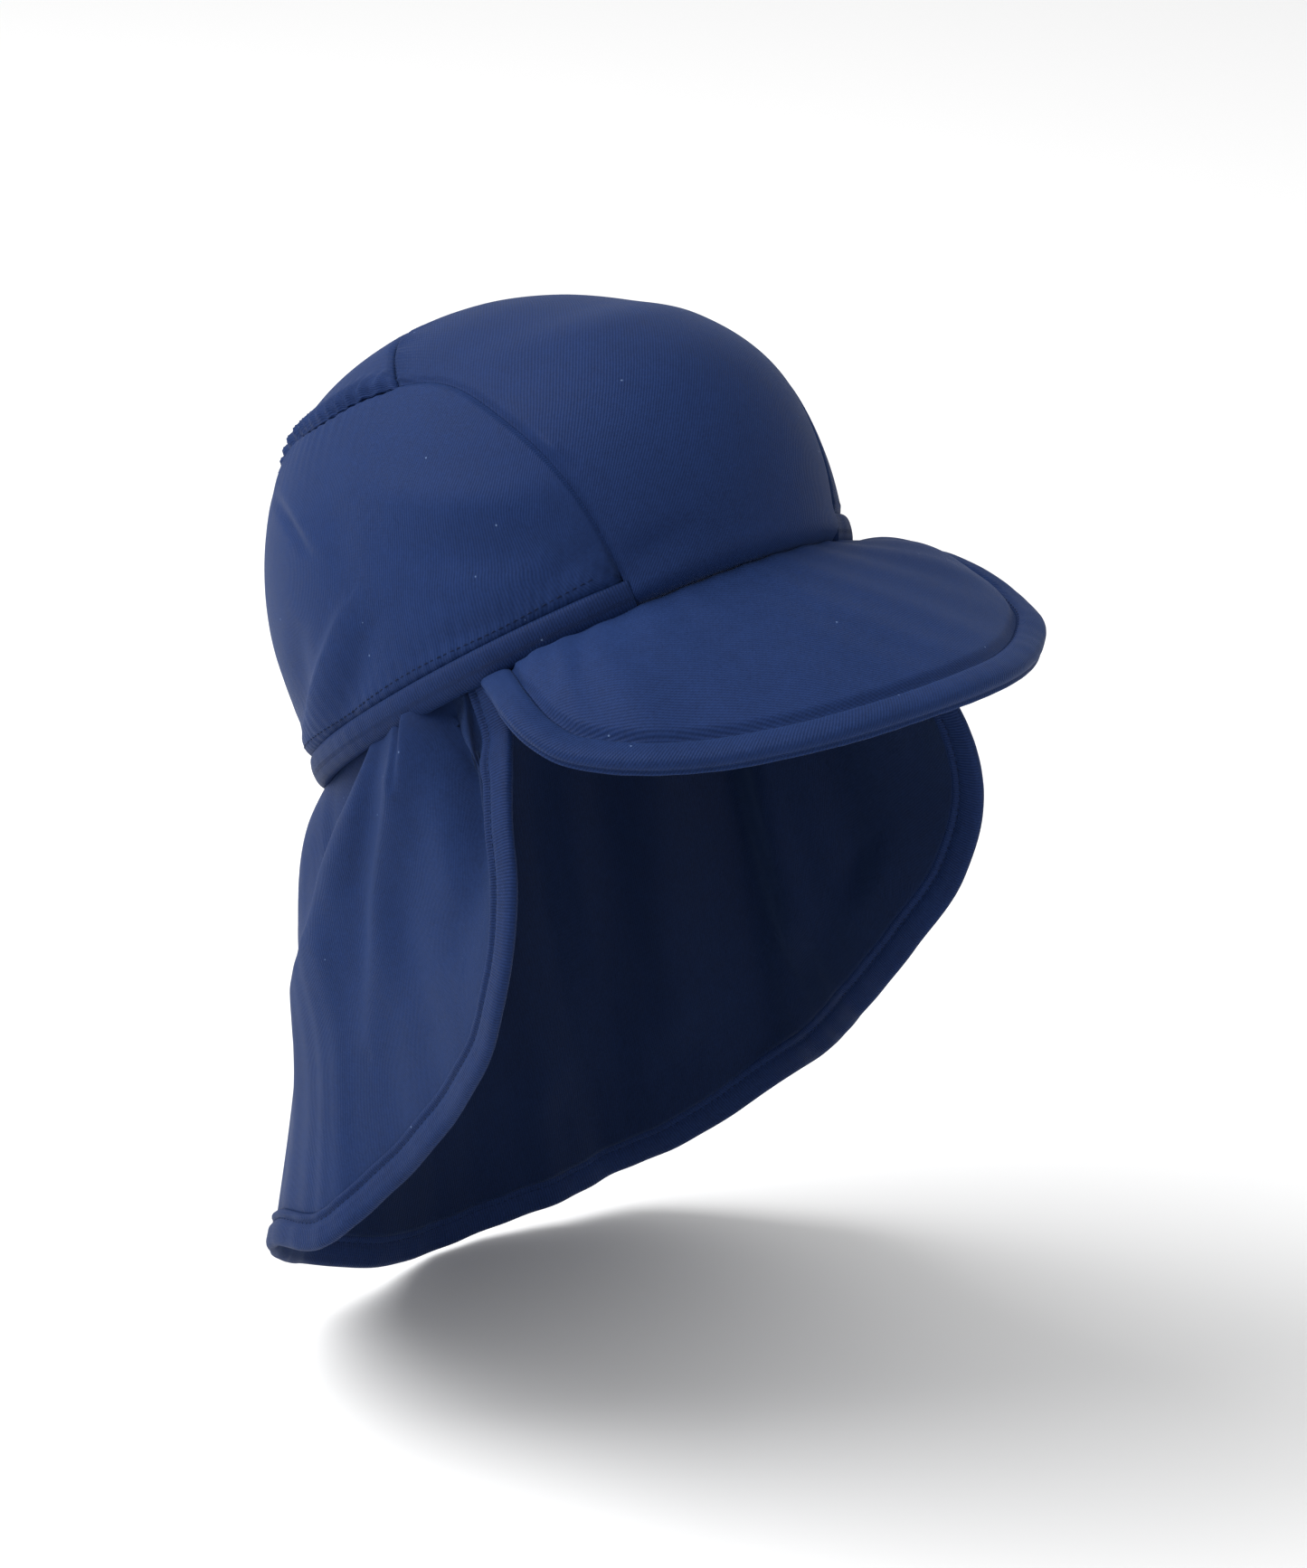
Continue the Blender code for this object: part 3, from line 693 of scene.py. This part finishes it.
# Rim's section: millimetres in from the edge, millimetres up, with a lip and a groove below
rimSection = (
    (0.10, -0.30), (0.15, 0.80), (0.90, 1.80), (2.40, 2.30), (4.80, 2.35), (6.80, 2.00), (7.80, 1.10),
    (8.10, 0.00), (7.80, -1.30), (6.00, -2.10), (3.00, -2.30), (1.00, -2.35), (0.05, -2.05), (0.00, -1.55),
    (0.60, -1.15),
)


def insideStrip(edge, aim, width):  # line at a distance inside an edge, square to it
    along = unit(np.gradient(edge, axis=0))
    across = aim - edge
    across = unit(across - (across * along).sum(-1, keepdims=True) * along)
    return edge + width * across, across


def keepOut(line, drop):  # what would reach into the head opening is moved out to its wall
    side, front = line @ sideAxis, line @ frontAxis
    angle = np.arctan2(-side / opening["halfWidth"], front / opening["halfLength"])
    wall = wallLine(angle, 0.0)
    inside = np.hypot(side, front) < np.hypot(wall @ sideAxis, wall @ frontAxis)
    kept = toWorld(wall @ sideAxis, wall @ frontAxis, np.minimum(line @ upAxis, -drop))
    return np.where(inside[:, None], kept, line)


def addPeak():
    end = wallLine(np.array((peak["endAngle"],)), -0.0005)
    size = np.array((-peak["halfWidth"], -peak["reach"], peak["rise"]))
    right = np.vstack((end, np.array(peakEdge) * size))
    whole = np.vstack((right, right[-2::-1] * (-1, 1, 1)))
    edge, _ = smoothLine(whole, peak["columns"])
    angle = np.linspace(peak["endAngle"], -peak["endAngle"], len(edge))
    aim = wallLine(angle * peak["aim"], peak["rimDrop"])
    inner, across = insideStrip(edge, aim, peak["rimWidth"])
    inner = keepOut(inner, peak["rimDrop"])
    across = unit(inner - edge)
    run = unit(np.gradient(edge, axis=0))
    up = unit(np.cross(across, run))
    up = up * np.sign(up[:, 2:3])

    section = roundProfile(rimSection, 44)
    length = np.cumsum(np.linalg.norm(np.diff(edge, axis=0, prepend=edge[:1]), axis=-1))
    plump = 1 + 0.035 * waves(length, 0.031, 0.9) + 0.02 * waves(length, 0.0085, 2.0)
    plump *= 0.80 + 0.20 * ease(np.minimum(length, length[-1] - length) / 0.015)
    rings = edge[:, None] + across[:, None] * section[None, :, :1]
    rings = rings + up[:, None] * (section[None, :, 1:] * plump[:, None, None])
    points, faces, cloth = sweptTube(rings)
    rim = makePiece("peakRim", points, faces, cloth, ("rimCloth",))
    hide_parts("peak_edge")

    corner = math.atan2(-inner[0] @ sideAxis / opening["halfWidth"], inner[0] @ frontAxis / opening["halfLength"])
    seam = wallLine(np.linspace(corner, -corner, len(edge)), 0.0005)
    share = (1 - (1 - np.linspace(0, 1, peak["rows"])) ** 1.0) ** 1.25
    depth = np.linalg.norm(seam - inner, axis=-1)
    grid = inner[None] * (1 - share[:, None, None]) + seam[None] * share[:, None, None]
    fromGroove = share[:, None] * depth[None, :]
    aside = np.abs(np.linspace(-1, 1, len(edge)))[None, :]
    room = ease(depth / 0.030)[None, :]
    swell = np.sin(math.pi * share)[:, None] * (peak["bulge"] + peak["shoulder"] * hump(aside - 0.62, 0.26)) * room
    normal = gridNormal(grid)
    half = peak["thickness"] / 2 * (0.35 + 0.65 * ease(fromGroove / 0.0032))
    soft = 0.00022 * waves(length[None, :] + fromGroove * 0.6, 0.024, 1.7) * ease(fromGroove / 0.01)
    top = grid + (half + swell + soft)[..., None] * normal
    bottom = grid + (swell * 0.75 - half)[..., None] * normal
    keep = np.flatnonzero(depth > 0.0015)
    top, bottom = top[:, keep[0]:keep[-1] + 1], bottom[:, keep[0]:keep[-1] + 1]
    rows, columns = top.shape[:2]
    number = np.arange(rows * columns).reshape(rows, columns)
    border = np.concatenate((number[0], number[1:, -1], number[-1, -2::-1], number[-2:0:-1, 0]))
    after = np.roll(border, -1)
    total = rows * columns
    wall = np.stack((after, border, border + total, after + total), -1)
    faces = np.vstack((gridFaces(rows, columns), gridFaces(rows, columns)[:, ::-1] + total, wall))
    points = np.vstack((top.reshape(-1, 3), bottom.reshape(-1, 3)))
    cloth = points[:, :2] * (1.0, 1.04)
    pad = makePiece("peakPad", points, faces, cloth, ("peakCloth",))
    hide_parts("peak")

    groove = edge + across * 0.00765
    rows = [(groove + up * (0.00115 * plump)[:, None], up), (groove - up * (0.00130 * plump)[:, None], -up)]
    rows = [(place[6:-6], outward[6:-6]) for place, outward in rows]
    return pad, rim, rows


peakPad, peakRim, peakRows = addPeak()
peakStitches = addStitches("peakStitches", peakRows, dict(seamStitch, pitch=0.0019, length=0.0012))
print("peak made")

flap = {
    "endAngle": math.radians(60.0),
    "panelAngle": 68.0,
    "halfWidth": 0.0910,
    "back": 0.0670,
    "drop": 0.1850,
    "cloth": 0.0011,
    "hemWidth": 0.0090,
    "aim": 0.2,
    "foldHeight": 0.0045,
    "foldFade": 0.15,
    "foldRoom": 0.050,
    "foldStart": 0.3,
    "foldGain": 1.35,
    "puff": 0.0060,
    "columns": 420,
    "rows": 130,
}
# Flap's outer edge from its end to the middle of the back: angle on the casing in degrees, shares of the
# half width and the back, and shares of the drop on the wearer's right and left
flapEdge = (
    (71, 0.650, -0.605, 0.060, 0.060),
    (74.5, 0.723, -0.710, 0.030, 0.030),
    (76.5, 0.780, -0.791, -0.022, -0.022),
    (78.5, 0.835, -0.888, -0.090, -0.090),
    (81, 0.888, -0.927, -0.194, -0.194),
    (86.5, 0.901, -0.818, -0.337, -0.340),
    (94, 0.887, -0.561, -0.470, -0.478),
    (106, 0.914, -0.251, -0.599, -0.608),
    (120, 0.975, 0.061, -0.706, -0.718),
    (134, 0.910, 0.430, -0.757, -0.835),
    (150, 0.665, 0.800, -0.868, -0.948),
    (165, 0.380, 0.955, -0.946, -0.985),
    (180, 0.000, 1.000, -1.000, -1.000),
)
# Folds round the back and on the far side: angle at the top and at the hem, width in degrees, share of the
# height, and how far down each starts and ends
backFolds = (
    (152, 160, 6.5, 0.80, 0.00, 1.20),
    (167, 170, 6.0, -0.60, 0.00, 0.90),
    (181, 181, 6.5, 0.70, 0.00, 1.20),
    (-76, -80, 3.5, -0.40, 0.00, 0.80),
    (-87, -97, 4.5, 0.70, 0.00, 0.90),
    (-99, -114, 5.0, -0.60, 0.00, 0.90),
    (-111, -128, 5.5, 0.80, 0.00, 1.10),
    (-125, -140, 6.0, -0.60, 0.00, 0.90),
    (-139, -151, 6.0, 0.70, 0.00, 1.20),
    (-153, -161, 6.0, -0.60, 0.00, 0.90),
    (-167, -171, 6.0, 0.60, 0.00, 1.10),
)
# Hem's section: millimetres in from the edge, millimetres out, with the stitched groove on both faces
hemSection = (
    (0.00, 0.00), (0.35, 0.95), (1.40, 1.45), (3.60, 1.55), (5.60, 1.35), (6.55, 0.75), (6.95, 0.50),
    (7.35, 0.80), (8.10, 1.20), (8.80, 1.10), (9.30, 0.55), (9.40, 0.00), (9.20, -0.60), (8.40, -1.05),
    (7.40, -0.85), (6.95, -0.50), (6.50, -0.80), (5.20, -1.20), (2.80, -1.30), (0.90, -1.10), (0.15, -0.60),
)


def backRelief(turn, down):
    behind = np.clip((90 - np.abs(180 - turn)) / 40, 0, 1)
    relief = flap["puff"] * behind * 12.2 * down * (1 - down) ** 4
    for top, hem, width, share, start, end in backFolds:
        centre = (360 if top < 0 else 0) + top + (hem - top) * down
        fade = ease((down - start) / flap["foldFade"] + 0.35) * ease((end - down) / flap["foldFade"])
        relief += share * flap["foldHeight"] * fade * hump(turn - centre, width)
    return relief


def addFlap():
    rows = np.array(flapEdge)
    right = rows[:, 1:4] * (-flap["halfWidth"], flap["back"], flap["drop"])
    left = rows[:, [1, 2, 4]] * (flap["halfWidth"], flap["back"], flap["drop"])
    end = wallLine(np.array((flap["endAngle"],)), -0.0010)
    whole = np.vstack((end, right, left[-2::-1], end * (-1, 1, 1)))
    edge, shares = smoothLine(whole, flap["columns"])
    first, turned = flap["panelAngle"], [row[0] for row in flapEdge]
    angles = np.array([first] + turned + [360 - a for a in turned[-2::-1]] + [360 - first])
    angle = smoothTable(np.column_stack((shares, angles)), 1, np.linspace(0, 1, flap["columns"]))
    wrapped = np.radians(np.where(angle > 180, angle - 360, angle))
    lean = angle + (180 - angle) * flap["aim"]
    lean = np.radians(np.where(lean > 180, lean - 360, lean))
    top = wallLine(wrapped, -0.0012)
    aim = wallLine(lean, 0.0006)
    inner, across = insideStrip(edge, aim, flap["hemWidth"])
    down = np.linspace(0, 1, flap["rows"]) ** 1.15
    grid = top[None] * (1 - down[:, None, None]) + inner[None] * down[:, None, None]
    turn = angle[None, :].repeat(len(down), 0)
    level = down[:, None].repeat(len(angle), 1)
    length = np.linalg.norm(inner - top, axis=-1)
    room = ease(length / flap["foldRoom"] - flap["foldStart"] + 0.2)
    normal = gridNormal(grid)
    normal = normal * np.sign((normal * (grid - np.array((0, 0, -0.06)))).sum(-1, keepdims=True))
    toEye = unit(viewAxes()[2] * viewpoint["distance"] - grid)
    near = ease(((normal * toEye).sum(-1) + 0.05) / 0.25) * (grid[..., 0] < 0.02)
    near = near * ease((172 - turn) / 25)
    nearHem = ease((1 - level) * length / 0.0016)  # the hem itself stays smooth
    photoRelief = flap["foldGain"] * pathRelief(toPixel(grid), flapFolds)
    relief = backRelief(turn, level) * room + near * nearHem * photoRelief * ease(length / 0.022)
    relief += 0.00025 * waves(turn * 0.0016, 0.011, 0.8) * level
    grid = grid + relief[..., None] * normal
    keep = np.flatnonzero(length > 0.0015)
    body = grid[:, keep[0]:keep[-1] + 1]
    cloth = addSheet("neckFlap", body, flap["cloth"], "flap", "flapCloth")

    moved = relief[-1][:, None] * normal[-1]
    edge, inner = edge + moved, inner + moved
    across = unit(inner - edge)
    run = unit(np.gradient(edge, axis=0))
    out = unit(np.cross(across, run))
    out = out * np.sign((out * normal[-1]).sum(-1, keepdims=True))
    section = roundProfile(hemSection, 44)
    length = np.cumsum(np.linalg.norm(np.diff(edge, axis=0, prepend=edge[:1]), axis=-1))
    plump = 1 + 0.06 * waves(length, 0.027, 0.4) + 0.03 * waves(length, 0.0075, 1.2)
    rings = edge[:, None] + across[:, None] * section[None, :, :1]
    rings = rings + out[:, None] * (section[None, :, 1:] * plump[:, None, None])
    points, faces, spread = sweptTube(rings)
    hem = makePiece("flapHem", points, faces, spread, ("hemCloth",))
    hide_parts("flap_hem")
    groove = edge + across * 0.00695
    rows = [(groove + out * (0.00046 * plump)[:, None], out), (groove - out * (0.00046 * plump)[:, None], -out)]
    return cloth, hem, rows


neckFlap, flapHem, hemRows = addFlap()
hemStitches = addStitches("hemStitches", hemRows, dict(seamStitch, pitch=0.0020, length=0.0013))
print("flap hung")


def clothArea(piece):
    return sum(face.area for face in piece.data.polygons)


for piece in (frontPanel, backPanel, sideRight, sideLeft, neckFlap):
    print(piece.name, "cloth area", round(clothArea(piece), 5))

studio = {
    "floorDrop": -0.1868,
    "floorHalf": 9.0,
    "floorColour": (0.92, 0.92, 0.92, 1.0),
    "world": 0.66,
}


def addFloor():
    half = studio["floorHalf"]
    corners = [(-half, -half), (half, -half), (half, half), (-half, half)]
    mesh = bpy.data.meshes.new("floor")
    mesh.from_pydata([(x, y, studio["floorDrop"]) for x, y in corners], [], [(0, 1, 2, 3)])
    material = bpy.data.materials.new("paleFloor")
    material.use_nodes = True
    shader = material.node_tree.nodes["Principled BSDF"]
    shader.inputs["Base Color"].default_value = studio["floorColour"]
    shader.inputs["Roughness"].default_value = 0.8
    shader.inputs["Specular IOR Level"].default_value = 0.1
    mesh.materials.append(material)
    floor = bpy.data.objects.new("floor", mesh)
    bpy.context.scene.collection.objects.link(floor)


def aimAt(place, target):  # matrix of a lamp at a place that shines at a target
    back = unit(np.subtract(place, target))
    right = unit(np.cross((0.0, 0.0, 1.0), back))
    up = np.cross(back, right)
    matrix = np.eye(4)
    matrix[:3, 0], matrix[:3, 1], matrix[:3, 2], matrix[:3, 3] = right, up, back, place
    return matrix.T.tolist()


def addLamp(name, place, size, power):
    lamp = bpy.data.lights.new(name, "AREA")
    lamp.shape = "SQUARE"
    lamp.size = size
    lamp.energy = power
    piece = bpy.data.objects.new(name, lamp)
    bpy.context.scene.collection.objects.link(piece)
    matrix = np.array(aimAt(place, (0.0, -0.02, -0.03))).T
    piece.matrix_world = [list(row) for row in matrix.T]


def addCamera():
    right, up, back = viewAxes()
    lens = bpy.data.cameras.new("camera")
    width, height = viewpoint["frame"]
    lens.sensor_fit = "AUTO"
    lens.sensor_width = 36.0
    lens.lens = viewpoint["focal"] / height * lens.sensor_width
    lens.shift_x = (width / 2 - viewpoint["middle"][0]) / height
    lens.shift_y = (viewpoint["middle"][1] - height / 2) / height
    lens.clip_start, lens.clip_end = 0.05, 60.0
    camera = bpy.data.objects.new("camera", lens)
    bpy.context.scene.collection.objects.link(camera)
    columns = (right, up, back, back * viewpoint["distance"])
    camera.matrix_world = [[*map(float, column), float(i == 3)] for i, column in enumerate(columns)]
    bpy.context.scene.camera = camera


right, up, back = viewAxes()
addFloor()
addLamp("keyLamp", -right * 1.15 + np.array((0, 0, 1.35)) + back * 0.0, 1.6, 42.0)
addLamp("fillLamp", right * 0.7 + np.array((0, 0, 1.2)) + back * 1.3, 1.4, 5.0)
addCamera()
world = bpy.data.worlds.new("studioAir")
bpy.context.scene.world = world
world.use_nodes = True
world.node_tree.nodes["Background"].inputs[0].default_value = (1.0, 1.0, 1.0, 1.0)
world.node_tree.nodes["Background"].inputs[1].default_value = studio["world"]
bpy.context.scene.view_settings.view_transform = "Standard"
print("studio lit")

bpy.context.view_layer.update()
